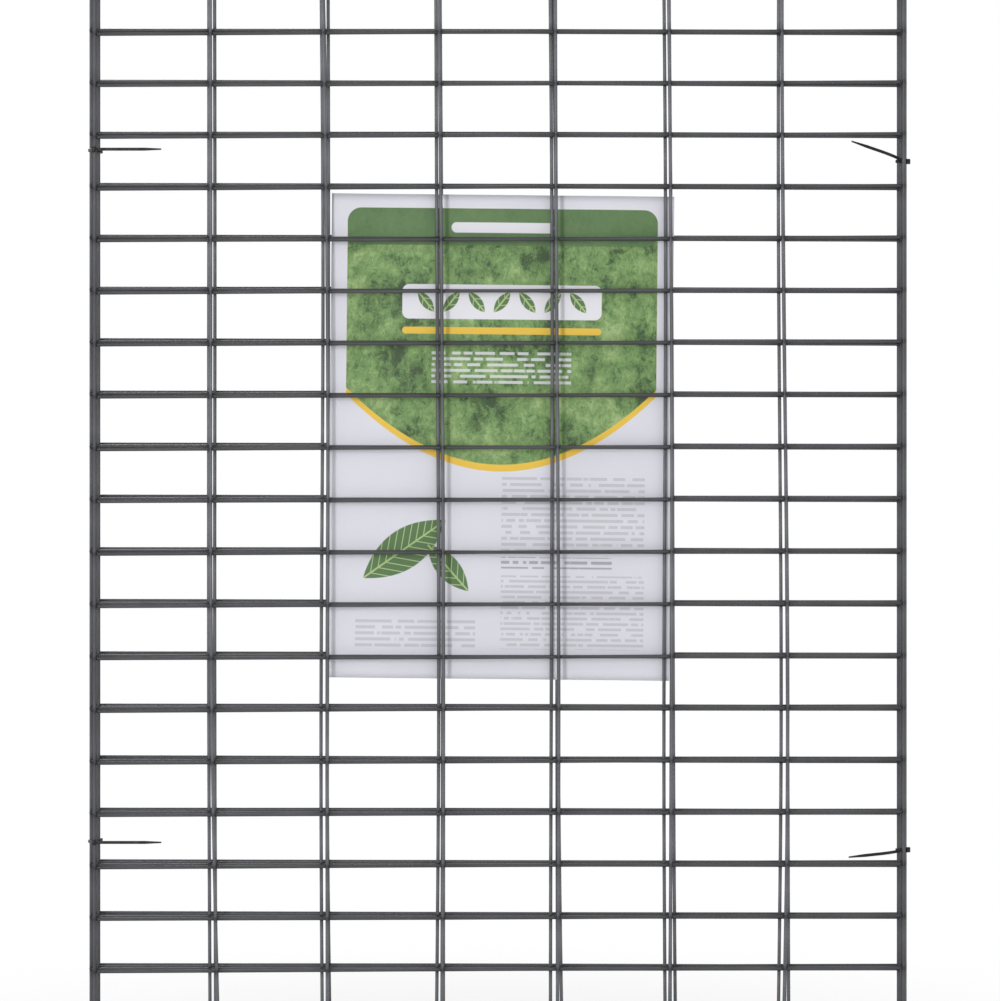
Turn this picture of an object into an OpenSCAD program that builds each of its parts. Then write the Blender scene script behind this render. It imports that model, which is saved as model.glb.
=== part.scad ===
// Folding leaf composter bin of welded wire mesh, in its flat pack.
// Four equal panels stand one behind the other, zigzag folded, with +Z along the uprights,
// X along the panels and -Y towards the viewer. Cable ties hinge the panels at three corners:
// the front and left panels at the left edge, the left and rear panels at the right edge,
// the rear and right panels at the left edge. The fourth corner stays open until the bin is set up.
// A printed card is tucked between the left and the rear panel. All sizes are in millimetres.

/* [Panel] */
// Width of a panel, between the axes of its edge wires
panel_width = 700; // [500:10:900]
// Width of the first and the last column of the mesh
edge_column = 102; // [80:1:120]
// Spacing of the cross wires
cross_pitch = 45; // [38:1:60]
// Number of cross wires in a panel
cross_count = 21; // [15:1:25]
// How far the uprights reach past the first cross wire
short_end = 3.5; // [2:0.1:10]
// How far the uprights reach past the last cross wire
long_end = 6.5; // [2:0.1:12]
// How far the cross wires reach past the axes of the edge wires
side_end = 1.2; // [0.2:0.1:1.4]

/* [Wire] */
// Diameter of the wire
wire_d = 3; // [2.5:0.1:4]
// How far crossing wires sink into each other at a weld
weld_set = 0.35; // [0.1:0.05:0.5]

/* [Fold] */
// Gap between the cross wires of two panels that are folded face to face
fold_gap = 0.4; // [0.3:0.1:2]
// Sideways step between the front and left panels, which are folded face to face
fold_step = 3.8; // [3:0.1:8]
// Sideways step between the rear and right panels, which are folded face to face
rear_step = 2.6; // [2:0.1:8]
// Gap that the rear panel keeps from the left panel's edge wire as it swings round the corner
swing_gap = 0.35; // [0.3:0.05:1.5]

/* [Cable ties] */
// Width of the strap
strap_width = 2.6; // [2:0.1:3.6]
// Thickness of the strap
strap_thick = 1.1; // [0.8:0.1:1.4]
// Radial clearance of a wire in the loop of a tie
loop_clearance = 0.08; // [0.04:0.01:0.1]
// Length of the head, along the strap
head_length = 4.2; // [3.5:0.1:5.5]
// Height of the head, out from the strap's inner face
head_height = 3.7; // [3.4:0.1:5]
// Width of the head
head_width = 4.6; // [4:0.1:6]
// Thickness of the head's wall between the loop and the tail
slot_wall = 0.5; // [0.3:0.1:0.8]
// Free tail of the ties on the front left corner, from the middle of the head
front_tail = 58; // [35:1:70]
// Free tail of the ties on the rear left corner, from the middle of the head
rear_tail = 56; // [44:1:60]
// Cropped tail of the ties on the rear right corner, from the middle of the head
cropped_tail = 5; // [3:0.5:8]
// Length of the tapered tip of a tail
tip_taper = 14; // [8:1:18]
// Width of a tail at its tip
tip_width = 1.2; // [0.8:0.1:1.8]
// Rows of mesh cells above and below the ties
tie_row = 3; // [1:1:5]
// Height of the upper ties at the left edge over the cross wire below them
left_upper_rise = 34.5; // [10:0.5:35]
// Height of the lower ties at the left edge over the cross wire below them
left_lower_rise = 20.5; // [10:0.5:35]
// Height of the upper tie at the right edge over the cross wire below it
right_upper_rise = 25; // [10:0.5:28]
// Height of the lower tie at the right edge over the cross wire below it
right_lower_rise = 13; // [9:0.5:35]
// Rise of the upper tie's tail at the right edge, in degrees
right_upper_tilt = 19; // [-10:1:20]
// Rise of the lower tie's tail at the right edge, in degrees
right_lower_tilt = -6; // [-9:1:20]
// Straight stretch of a rear left tail before it bends along the panel
tail_lead = 15; // [12:0.5:18]
// Radius of that bend
tail_bend = 25; // [15:1:30]

/* [Card] */
// Width of the printed card
card_width = 297; // [200:1:320]
// Height of the printed card
card_height = 420; // [280:1:450]
// Thickness of the printed card
card_thick = 0.5; // [0.2:0.1:1]
// Gap between the card and the uprights on either side of it
card_gap = 0.3; // [0.2:0.05:0.5]
// Sideways shift of the card's middle from the middle of the pack
card_shift = 2; // [-50:0.5:50]
// Height of the card's middle over the middle of the panel
card_rise = 56; // [-150:1:150]
// Turn of the card as it lies in the pack, clockwise in degrees
card_turn = 0.6; // [-3:0.1:3]

/* [Hidden] */
$fn = 48;
upright_count = 8;

wire_r = wire_d / 2;
// Distance from the uprights' axes to the cross wires' axes in one panel
layer = wire_d - weld_set;
inner_pitch = (panel_width - 2 * edge_column) / (upright_count - 3);
mesh_height = cross_pitch * (cross_count - 1);
upright_length = short_end + mesh_height + long_end;
cross_length = panel_width + 2 * side_end;

// Depth between the uprights of two panels folded face to face, and of two panels round the card
pair_depth = 2 * layer + wire_d + fold_gap;
card_depth = wire_d + card_thick + 2 * card_gap;
stack_depth = 2 * pair_depth + card_depth;
// Sideways step from the left panel to the rear panel, which swings past its edge wire
corner_step = wire_d + layer + swing_gap;

// The panels, front to back
FRONT = 0;
LEFT = 1;
REAR = 2;
RIGHT = 3;
SIDES = ["front", "left", "rear", "right"];

// Axis of each panel's left edge wire, seen from above
front_left = [(fold_step - panel_width) / 2, -stack_depth / 2];
left_left = front_left + [-fold_step, pair_depth];
rear_left = left_left + [corner_step, card_depth];
right_left = rear_left + [-rear_step, pair_depth];
EDGE = [front_left, left_left, rear_left, right_left];
across = [panel_width, 0];

// Side of the uprights on which a panel's cross wires lie: behind them on the front and rear panels
function inward(p) = p == FRONT || p == REAR ? 1 : -1;

// Height of a panel's first cross wire: the rear and right panels are turned end for end
function first_cross(p) = p == FRONT || p == LEFT ? short_end : long_end;

// Distance of an upright from the left edge wire
function column(i) =
    i == 0 ? 0
    : i == upright_count - 1 ? panel_width
    : edge_column + (i - 1) * inner_pitch;

// Heights of the ties, from the cross wire below each
function lower_tie(rise) = short_end + tie_row * cross_pitch + rise;
function upper_tie(rise) = short_end + (cross_count - 2 - tie_row) * cross_pitch + rise;

// Inner radius of a tie's loop, and the middle of the tail's thickness out from the wire's axis
loop_r = wire_r + loop_clearance;
tail_out = loop_r + strap_thick + slot_wall + strap_thick / 2;
// The head starts a little outside the loop's inner face
head_inset = strap_thick / 5;
head_chamfer = 0.6;
// A strap's straight stretches reach this far into its bends, which cover them this much on every side
bend_lap = 0.15;
bend_cover = 0.01;
run_thick = strap_thick - 2 * bend_cover;
run_width = strap_width - 2 * bend_cover;

function heading(p, q) = atan2(q.y - p.y, q.x - p.x);

function panel_part(p, part) = str(SIDES[p], "_panel_", part);
function upright_name(p, i) =
    i == 0 ? panel_part(p, "left_edge_wire")
    : i == upright_count - 1 ? panel_part(p, "right_edge_wire")
    : panel_part(p, str("upright_", i + 1));
CORNERS = ["front_left", "rear_left", "rear_right"];
function tie_name(corner, level) = str(corner, "_", level, "_tie");

NODES = concat(
    [for (p = [FRONT : RIGHT]) for (i = [0 : upright_count - 1]) upright_name(p, i)],
    [for (p = [FRONT : RIGHT]) for (part = ["bottom_wire", "cross_wires", "top_wire"]) panel_part(p, part)],
    [for (corner = CORNERS) for (level = ["lower", "upper"]) tie_name(corner, level)],
    ["printed_card"]
);
node = "all";
function shown(name) = node == "all" || node == name;

// One vertical wire of a panel, cut square at both ends
module upright(p, i) {
    color("dimgray")
        translate([EDGE[p].x + column(i), EDGE[p].y, 0])
            cylinder(d = wire_d, h = upright_length);
}

// Horizontal wires of a panel, welded to the inner side of its uprights
module cross_wires(p, first, last) {
    color("dimgray")
        for (i = [first : last])
            translate([
                EDGE[p].x - side_end,
                EDGE[p].y + inward(p) * layer,
                first_cross(p) + i * cross_pitch
            ])
                rotate([0, 90, 0])
                    cylinder(d = wire_d, h = cross_length);
}

// Bend of a strap about Z, from the X axis on, with its inner face at a radius
module strap_bend(radius, angle) {
    rotate_extrude(angle = angle)
        translate([radius, -strap_width / 2])
            square([strap_thick, strap_width]);
}

// Straight stretch of a strap along +X that laps into a bend before it and after it
module strap_run(length) {
    translate([-bend_lap, -run_thick / 2, -run_width / 2])
        cube([length + 2 * bend_lap, run_thick, run_width]);
}

// Strap closed round two parallel wires: two half rings and two straight runs
module loop(p, q) {
    turn = heading(p, q);
    for (end = [[p, turn + 90], [q, turn - 90]])
        translate([end[0].x, end[0].y, 0])
            rotate(end[1])
                strap_bend(loop_r, 180);
    for (side = [-1, 1])
        translate([p.x, p.y, 0])
            rotate(turn)
                translate([0, side * (loop_r + strap_thick / 2), 0])
                    strap_run(norm(q - p));
}

// Locking head, with the strap along +X and the wire's axis on Z: a block with bevelled outer edges
module head() {
    low = loop_r + head_inset;
    high = loop_r + head_height;
    half = head_length / 2;
    translate([0, 0, -head_width / 2])
        linear_extrude(head_width)
            polygon([
                [-half, low], [half, low], [half, high - head_chamfer],
                [half - head_chamfer, high], [head_chamfer - half, high], [-half, high - head_chamfer]
            ]);
}

// Flat end of a strap along +X, of one width for a stretch and then tapered to its tip
module strap_end(length) {
    straight = length - tip_taper;
    rotate([90, 0, 0])
        translate([0, 0, -run_thick / 2])
            linear_extrude(run_thick)
                polygon([
                    [-bend_lap, -run_width / 2], [straight, -run_width / 2], [length, -tip_width / 2],
                    [length, tip_width / 2], [straight, run_width / 2], [-bend_lap, run_width / 2]
                ]);
}

// Tail that runs straight, then turns towards the wires by an angle, then runs straight to its tip
module bent_tail(length, turn) {
    bend_length = tail_bend * turn * PI / 180;
    strap_run(tail_lead);
    translate([tail_lead, -tail_bend, 0]) {
        rotate(90 - turn)
            strap_bend(tail_bend - strap_thick / 2, turn);
        rotate(-turn)
            translate([0, tail_bend, 0])
                strap_end(length - tail_lead - bend_length);
    }
}

// Head of a tie outside the wire at p and its tail, which leaves in a direction and is tilted about Y.
// The outside is on the left of that direction, or on its right where flipped.
module head_and_tail(p, direction, flipped = false, tilt = 0) {
    hand = flipped ? 1 : 0;
    translate([p.x, p.y, 0]) {
        rotate(direction)
            mirror([0, hand, 0])
                head();
        rotate([0, tilt, 0])
            rotate(direction)
                mirror([0, hand, 0])
                    translate([0, tail_out, 0])
                        children();
    }
}

// Tie round the front and left panels' left edge wires, with a long straight tail
module front_left_tie(z) {
    color("black")
        translate([0, 0, z]) {
            loop(EDGE[FRONT], EDGE[LEFT]);
            head_and_tail(EDGE[FRONT], 0, flipped = true)
                strap_end(front_tail);
        }
}

// Tie round the left and rear panels' right edge wires, whose tail comes through the front panel's
// last column and bends along it
module rear_left_tie(z, tilt) {
    near = EDGE[LEFT] + across;
    far = EDGE[REAR] + across;
    run = heading(far, near);
    color("black")
        translate([0, 0, z]) {
            loop(near, far);
            head_and_tail(far, run, tilt = tilt)
                bent_tail(rear_tail, run + 180);
        }
}

// Tie round the rear and right panels' left edge wires, with its head behind the stack and its tail cropped
module rear_right_tie(z) {
    color("black")
        translate([0, 0, z]) {
            loop(EDGE[REAR], EDGE[RIGHT]);
            head_and_tail(EDGE[RIGHT], 0)
                strap_run(cropped_tail);
        }
}

// Printed card between the left and the rear panel
module printed_card() {
    middle = [
        (EDGE[LEFT].x + EDGE[REAR].x + panel_width) / 2 + card_shift,
        EDGE[LEFT].y + wire_r + card_gap + card_thick / 2,
        short_end + mesh_height / 2 + card_rise
    ];
    color("whitesmoke")
        translate(middle)
            rotate([0, card_turn, 0])
                cube([card_width, card_thick, card_height], center = true);
}

for (p = [FRONT : RIGHT]) {
    for (i = [0 : upright_count - 1])
        if (shown(upright_name(p, i))) upright(p, i);
    if (shown(panel_part(p, "bottom_wire"))) cross_wires(p, 0, 0);
    if (shown(panel_part(p, "cross_wires"))) cross_wires(p, 1, cross_count - 2);
    if (shown(panel_part(p, "top_wire"))) cross_wires(p, cross_count - 1, cross_count - 1);
}
if (shown("front_left_lower_tie")) front_left_tie(lower_tie(left_lower_rise));
if (shown("front_left_upper_tie")) front_left_tie(upper_tie(left_upper_rise));
if (shown("rear_left_lower_tie")) rear_left_tie(lower_tie(right_lower_rise), right_lower_tilt);
if (shown("rear_left_upper_tie")) rear_left_tie(upper_tie(right_upper_rise), right_upper_tilt);
if (shown("rear_right_lower_tie")) rear_right_tie(lower_tie(left_lower_rise));
if (shown("rear_right_upper_tie")) rear_right_tie(upper_tie(left_upper_rise));
if (shown("printed_card")) printed_card();
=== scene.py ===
"""Looks of the folding leaf composter bin: coated wire mesh, nylon cable ties and a printed card.

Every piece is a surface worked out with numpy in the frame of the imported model, in metres:
X along the panels, Y from the front panel to the back of the stack, Z up along the uprights.
"""

import logging
import math
from dataclasses import dataclass, field
from enum import Enum
from typing import NamedTuple

import bpy
import numpy as np
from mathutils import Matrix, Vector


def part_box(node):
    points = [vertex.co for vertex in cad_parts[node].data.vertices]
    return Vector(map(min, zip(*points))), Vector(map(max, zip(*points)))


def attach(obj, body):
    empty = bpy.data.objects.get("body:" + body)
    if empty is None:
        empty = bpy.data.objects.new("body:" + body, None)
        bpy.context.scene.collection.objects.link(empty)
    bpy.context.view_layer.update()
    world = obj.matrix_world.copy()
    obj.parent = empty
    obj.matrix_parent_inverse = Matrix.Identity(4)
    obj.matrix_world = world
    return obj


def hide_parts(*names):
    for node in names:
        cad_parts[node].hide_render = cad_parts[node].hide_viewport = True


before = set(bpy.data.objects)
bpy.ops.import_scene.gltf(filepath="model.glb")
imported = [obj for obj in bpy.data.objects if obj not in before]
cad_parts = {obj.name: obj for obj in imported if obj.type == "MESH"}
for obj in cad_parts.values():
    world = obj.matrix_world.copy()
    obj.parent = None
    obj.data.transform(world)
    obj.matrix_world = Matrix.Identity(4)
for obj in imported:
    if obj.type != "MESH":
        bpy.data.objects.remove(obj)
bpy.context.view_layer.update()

Array = np.ndarray
Socket = bpy.types.NodeSocket
Colour = tuple[float, float, float]
Flat = tuple[float, float]

MM = 0.001
WHITE = (1.0, 1.0, 1.0, 1.0)
LOG = logging.getLogger("composter")


class Side(Enum):
    """The four panels, from the front of the folded stack to its back."""

    FRONT = "front"
    LEFT = "left"
    REAR = "rear"
    RIGHT = "right"

    @property
    def body(self) -> str:
        """Name of the body that the panel is."""
        return f"{self.value}_panel"

    @property
    def number(self) -> int:
        """Place in the stack, from 0 at the front."""
        return list(Side).index(self)


class Slot(Enum):
    """Material slots of the record."""

    WIRE = "coated_wire"
    TIE = "cable_tie"
    CARD = "card"


# Surfaces


def grid_quads(rows: int, cols: int, closed: bool = False) -> Array:
    """Corner numbers of the quads of a grid of points, whose rows run round.

    Quad (a, b) joins point (a, b) to (a, b + 1), (a + 1, b + 1) and (a + 1, b).

    Args:
        rows: Number of rows of points.
        cols: Number of points in a row; the last joins the first.
        closed: Whether the last row joins the first.

    Returns:
        An array of shape (quads, 4).
    """
    a, b = np.meshgrid(np.arange(rows if closed else rows - 1), np.arange(cols), indexing="ij")
    c, d = (a + 1) % rows, (b + 1) % cols
    corners = [a * cols + b, a * cols + d, c * cols + d, c * cols + b]
    return np.stack(corners, -1).reshape(-1, 4)


@dataclass
class Surface:
    """Points, faces and values of one piece before it becomes a mesh."""

    points: Array
    faces: list[Array]
    values: dict[str, Array] = field(default_factory=dict)
    uv: Array | None = None

    @staticmethod
    def joined(parts: list["Surface"]) -> "Surface":
        """All parts as one surface; the point numbers of each part follow on from the last.

        Args:
            parts: Surfaces that carry the same values and no UV.

        Returns:
            One surface.
        """
        starts = np.cumsum([0] + [len(part.points) for part in parts])
        keys = parts[0].values
        return Surface(
            np.concatenate([part.points for part in parts]),
            [face + start for part, start in zip(parts, starts) for face in part.faces],
            {key: np.concatenate([part.values[key] for part in parts]) for key in keys},
        )

    def to_object(self, name: str, material: bpy.types.Material) -> bpy.types.Object:
        """Makes the mesh object at the origin, smooth shaded.

        Args:
            name: Name of the piece.
            material: Its finish.

        Returns:
            The new object, linked to the scene.
        """
        mesh = bpy.data.meshes.new(name)
        loops = np.concatenate([face.ravel() for face in self.faces])
        totals = np.concatenate([np.full(len(face), face.shape[1]) for face in self.faces])
        mesh.vertices.add(len(self.points))
        mesh.vertices.foreach_set("co", self.points.astype(np.float32).ravel())
        mesh.loops.add(len(loops))
        mesh.loops.foreach_set("vertex_index", loops.astype(np.int32))
        mesh.polygons.add(len(totals))
        mesh.polygons.foreach_set("loop_start", (np.cumsum(totals) - totals).astype(np.int32))
        mesh.polygons.foreach_set("use_smooth", np.ones(len(totals), bool))
        for key, value in self.values.items():
            layer = mesh.attributes.new(key, "FLOAT", "POINT")
            layer.data.foreach_set("value", value.astype(np.float32))
        if self.uv is not None:
            layer = mesh.uv_layers.new(name="print")
            layer.data.foreach_set("uv", self.uv[loops].astype(np.float32).ravel())
        mesh.update(calc_edges=True)
        mesh.validate()
        mesh.materials.append(material)
        piece = bpy.data.objects.new(name, mesh)
        bpy.context.scene.collection.objects.link(piece)
        return piece


def unit(vectors: Array) -> Array:
    """Vectors scaled to length 1 along the last axis."""
    return vectors / np.linalg.norm(vectors, axis=-1, keepdims=True)


def smooth_step(value: Array) -> Array:
    """Value held to 0..1 and eased at both ends: 3 v squared less 2 v cubed."""
    held = np.clip(value, 0.0, 1.0)
    return held * held * (3.0 - 2.0 * held)


def spatial(*ways: Flat) -> list[Array]:
    """Directions seen from above, as directions in space."""
    return [np.append(np.array(way), 0.0) for way in ways]


def sweep(path: Array, across: Array, profile: Array) -> Surface:
    """Closed profile carried along a path, with flat ends.

    A point is path + u across + v (tangent x across), where (u, v) is the profile's point,
    counted from across towards tangent x across, so that the faces point outwards.

    Args:
        path: Points of shape (rings, 3).
        across: One direction for all rings, or one for each, square to the path.
        profile: Points (u, v) of shape (sides, 2) for all rings, or (rings, sides, 2).

    Returns:
        The swept surface.
    """
    rings = len(path)
    tangent = unit(np.gradient(path, axis=0))
    across = np.broadcast_to(across, path.shape)
    across = unit(across - tangent * np.sum(across * tangent, -1, keepdims=True))
    other = np.cross(tangent, across)
    profile = np.broadcast_to(profile, (rings, *profile.shape[-2:]))
    sides = profile.shape[1]
    points = (
        path[:, None]
        + profile[..., :1] * across[:, None]
        + profile[..., 1:] * other[:, None]
    ).reshape(-1, 3)
    ends = [np.arange(sides)[None, ::-1], np.arange(sides)[None] + (rings - 1) * sides]
    return Surface(points, [grid_quads(rings, sides), *ends])


# Shader nodes


class Sketch:
    """Short hand for placing and wiring the nodes of one tree."""

    def __init__(self, tree: bpy.types.NodeTree) -> None:
        """Starts on an empty tree."""
        self.tree = tree
        tree.nodes.clear()

    def feed(self, socket: Socket, value: object) -> None:
        """Links a socket to an input, or sets the input's own value.

        Args:
            socket: The input.
            value: A socket or a value.
        """
        if isinstance(value, bpy.types.NodeSocket):
            self.tree.links.new(value, socket)
        else:
            socket.default_value = value

    def put(self, kind: str, inputs: dict | None = None, **settings: object) -> bpy.types.Node:
        """Adds a node.

        Args:
            kind: Node type.
            inputs: Input name or number to a value or a socket.
            **settings: Properties of the node.

        Returns:
            The node.
        """
        node = self.tree.nodes.new(kind)
        for key, value in settings.items():
            setattr(node, key, value)
        for key, value in (inputs or {}).items():
            self.feed(node.inputs[key], value)
        return node

    def math(self, operation: str, *values: object) -> Socket:
        """Result of a Math node on one to three values or sockets."""
        return self.put("ShaderNodeMath", dict(enumerate(values)), operation=operation).outputs[0]

    def vector(self, operation: str, *values: object) -> Socket:
        """Result of a Vector Math node on one to three vectors or sockets."""
        node = self.put("ShaderNodeVectorMath", dict(enumerate(values)), operation=operation)
        return node.outputs["Value" if operation == "LENGTH" else "Vector"]

    def scaled(self, colour: Socket, level: Socket) -> Socket:
        """A colour times a level."""
        node = self.put("ShaderNodeVectorMath", {0: colour, "Scale": level}, operation="SCALE")
        return node.outputs["Vector"]

    def split(self, vector: Socket) -> tuple[Socket, Socket, Socket]:
        """The three parts of a vector."""
        return tuple(self.put("ShaderNodeSeparateXYZ", {0: vector}).outputs)

    def join(self, x: object, y: object, z: object = 0.0) -> Socket:
        """A vector of three parts."""
        return self.put("ShaderNodeCombineXYZ", {0: x, 1: y, 2: z}).outputs[0]

    def fade(
        self, value: Socket, low: float, high: float, start: float = 0.0, end: float = 1.0
    ) -> Socket:
        """Smooth step of a value.

        Args:
            value: What to read.
            low: Where the step starts.
            high: Where it ends.
            start: Result at and below low.
            end: Result at and above high.

        Returns:
            The result.
        """
        inputs = {"Value": value, "From Min": low, "From Max": high, "To Min": start, "To Max": end}
        node = self.put("ShaderNodeMapRange", inputs, interpolation_type="SMOOTHSTEP")
        return node.outputs["Result"]

    def mix(self, share: object, first: object, second: object) -> Socket:
        """Colour between two others.

        Args:
            share: 0 for the first and 1 for the second.
            first: A colour or a socket.
            second: A colour or a socket.

        Returns:
            The colour.
        """
        first, second = ((*c, 1.0) if isinstance(c, tuple) else c for c in (first, second))
        inputs = {0: share, 6: first, 7: second}
        return self.put("ShaderNodeMix", inputs, data_type="RGBA").outputs[2]

    def noise(
        self, vector: Socket, scale: object, detail: float = 3.0, rough: float = 0.5
    ) -> Socket:
        """Noise texture's value, about 0.5."""
        inputs = {"Vector": vector, "Scale": scale, "Detail": detail, "Roughness": rough}
        return self.put("ShaderNodeTexNoise", inputs).outputs["Fac"]

    def own(self, name: str) -> Socket:
        """A value that the mesh carries at its points."""
        return self.put("ShaderNodeAttribute", attribute_name=name).outputs["Fac"]

    def group(self, tree: bpy.types.NodeTree, **inputs: object) -> bpy.types.Node:
        """Places a node group and feeds its inputs by name."""
        return self.put("ShaderNodeGroup", inputs, node_tree=tree)


def new_group(
    name: str, inputs: dict[str, str], outputs: tuple[str, ...]
) -> tuple[Sketch, dict[str, Socket], bpy.types.Node]:
    """Starts a shader node group.

    Args:
        name: Name of the group.
        inputs: Input names and their socket kinds.
        outputs: Names of the outputs, which are values.

    Returns:
        The sketch of the group's tree, its inputs by name, and its output node.
    """
    tree = bpy.data.node_groups.new(name, "ShaderNodeTree")
    sketch = Sketch(tree)
    for way, sockets in (("INPUT", inputs), ("OUTPUT", dict.fromkeys(outputs, "Float"))):
        for key, kind in sockets.items():
            tree.interface.new_socket(key, in_out=way, socket_type=f"NodeSocket{kind}")
    given = sketch.put("NodeGroupInput").outputs
    return sketch, {key: given[key] for key in inputs}, sketch.put("NodeGroupOutput")


def grain_group() -> bpy.types.NodeTree:
    """Uneven surface: a broad cloud and a fine grain, both from noise on the given place.

    Returns:
        A group that puts out Tone, about 1 and darker or lighter by Amount, and Height.
    """
    sketch, given, out = new_group(
        "surface_grain",
        {"Place": "Vector", "Cloud": "Float", "Grain": "Float", "Amount": "Float"},
        ("Tone", "Height"),
    )
    grain_share = 0.5
    mean = 0.5 + grain_share / 2
    cloud = sketch.noise(given["Place"], given["Cloud"], detail=2.0)
    grain = sketch.noise(given["Place"], given["Grain"], detail=2.0, rough=0.6)
    both = sketch.math("MULTIPLY_ADD", grain, grain_share, cloud)
    swing = sketch.math("MULTIPLY", sketch.math("SUBTRACT", both, mean), given["Amount"])
    sketch.feed(out.inputs["Tone"], sketch.math("ADD", swing, 1.0))
    sketch.feed(out.inputs["Height"], grain)
    return sketch.tree


def patch_group() -> bpy.types.NodeTree:
    """Rounded rectangle: distance to a box less its corner radius, faded at the edge.

    Returns:
        A group that puts out Mask, 1 inside the rectangle.
    """
    sketch, given, out = new_group(
        "rounded_patch",
        {"Place": "Vector", "Middle": "Vector", "Half": "Vector", "Corner": "Float"},
        ("Mask",),
    )
    soft = 0.3
    off = sketch.vector("ABSOLUTE", sketch.vector("SUBTRACT", given["Place"], given["Middle"]))
    corner = sketch.join(given["Corner"], given["Corner"], 0.0)
    past = sketch.vector("SUBTRACT", off, sketch.vector("SUBTRACT", given["Half"], corner))
    outer = sketch.vector("LENGTH", sketch.vector("MAXIMUM", past, (0.0, 0.0, 0.0)))
    distance = sketch.math("SUBTRACT", outer, given["Corner"])
    sketch.feed(out.inputs["Mask"], sketch.fade(distance, -soft, soft, 1.0, 0.0))
    return sketch.tree


def lines_group() -> bpy.types.NodeTree:
    """Small print as plain broken bars: bands in height, cut into words by noise along the row.

    Returns:
        A group that puts out Mask, 1 on the bars.
    """
    sketch, given, out = new_group(
        "print_rows", {"Place": "Vector", "Pitch": "Float", "Word": "Float"}, ("Mask",)
    )
    row_step = 7.3
    bar_edge, word_edge = (0.2, 0.3), (0.4, 0.44)
    x, y, _ = sketch.split(given["Place"])
    row = sketch.math("DIVIDE", y, given["Pitch"])
    number = sketch.math("FLOOR", row)
    rise = sketch.math("SUBTRACT", sketch.math("SUBTRACT", row, number), 0.5)
    band = sketch.fade(sketch.math("ABSOLUTE", rise), *bar_edge, 1.0, 0.0)
    along = sketch.math("DIVIDE", x, given["Word"])
    spot = sketch.join(along, sketch.math("MULTIPLY", number, row_step))
    words = sketch.fade(sketch.noise(spot, 1.0, detail=1.0), *word_edge)
    sketch.feed(out.inputs["Mask"], sketch.math("MULTIPLY", band, words))
    return sketch.tree


def leaf_group() -> bpy.types.NodeTree:
    """Pointed leaf along local X: half width falls as 1 less x squared; veins slant back.

    Returns:
        A group that puts out Mask, 1 on the leaf, and Vein, 1 on its veins.
    """
    sketch, given, out = new_group(
        "leaf_motif",
        {"Place": "Vector", "Middle": "Vector"}
        | dict.fromkeys(("Turn", "Length", "Width"), "Float"),
        ("Mask", "Vein"),
    )
    vein_pitch = 8.0
    leaf_edge, tip_edge, rib_edge, midrib_edge = (-0.4, 0.4), (0.99, 1.0), (0.04, 0.1), (0.5, 1.0)
    local = sketch.put(
        "ShaderNodeVectorRotate",
        {"Vector": given["Place"], "Center": given["Middle"], "Angle": given["Turn"]},
        rotation_type="Z_AXIS",
    ).outputs[0]
    x, y, _ = sketch.split(sketch.vector("SUBTRACT", local, given["Middle"]))
    along = sketch.math("DIVIDE", x, given["Length"])
    width = sketch.math("ABSOLUTE", y)
    full = sketch.math("SUBTRACT", 1.0, sketch.math("POWER", along, 2.0))
    half = sketch.math("MULTIPLY", full, given["Width"])
    inside = sketch.fade(sketch.math("SUBTRACT", width, half), *leaf_edge, 1.0, 0.0)
    reach = sketch.fade(sketch.math("ABSOLUTE", along), *tip_edge, 1.0, 0.0)
    slant = sketch.math("DIVIDE", sketch.math("SUBTRACT", x, width), vein_pitch)
    phase = sketch.math("SUBTRACT", sketch.math("FRACT", slant), 0.5)
    rib = sketch.fade(sketch.math("ABSOLUTE", phase), *rib_edge, 1.0, 0.0)
    middle = sketch.fade(width, *midrib_edge, 1.0, 0.0)
    sketch.feed(out.inputs["Mask"], sketch.math("MULTIPLY", inside, reach))
    sketch.feed(out.inputs["Vein"], sketch.math("MAXIMUM", rib, middle))
    return sketch.tree


@dataclass(frozen=True)
class Effects:
    """Node groups that several finishes share."""

    grain: bpy.types.NodeTree
    patch: bpy.types.NodeTree
    rows: bpy.types.NodeTree
    leaf: bpy.types.NodeTree

    @staticmethod
    def built() -> "Effects":
        """Builds each group once."""
        return Effects(grain_group(), patch_group(), lines_group(), leaf_group())


def new_finish(name: str) -> tuple[bpy.types.Material, Sketch, Socket]:
    """Starts a material.

    Args:
        name: Name of the material.

    Returns:
        The material, the sketch of its tree, and the Object coordinates.
    """
    material = bpy.data.materials.new(name)
    material.use_nodes = True
    sketch = Sketch(material.node_tree)
    return material, sketch, sketch.put("ShaderNodeTexCoord").outputs["Object"]


class Relief(NamedTuple):
    """Fine relief of a finish: strength and depth of its bump, and its specular level."""

    strength: float
    depth: float
    specular: float


def end_finish(
    sketch: Sketch, colour: Socket, rough: Socket, height: Socket, relief: Relief
) -> bpy.types.Node:
    """Wires a Principled shader with a bump to the material's output.

    Args:
        sketch: Sketch of the material.
        colour: Base colour.
        rough: Roughness.
        height: Height of the bump.
        relief: Amount of bump and gloss.

    Returns:
        The shader.
    """
    depth = {"Strength": relief.strength, "Distance": relief.depth, "Height": height}
    inputs = {
        "Base Color": colour,
        "Roughness": rough,
        "Normal": sketch.put("ShaderNodeBump", depth).outputs[0],
        "Specular IOR Level": relief.specular,
    }
    shader = sketch.put("ShaderNodeBsdfPrincipled", inputs)
    sketch.put("ShaderNodeOutputMaterial", {"Surface": shader.outputs[0]})
    return shader


# Finishes


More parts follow.
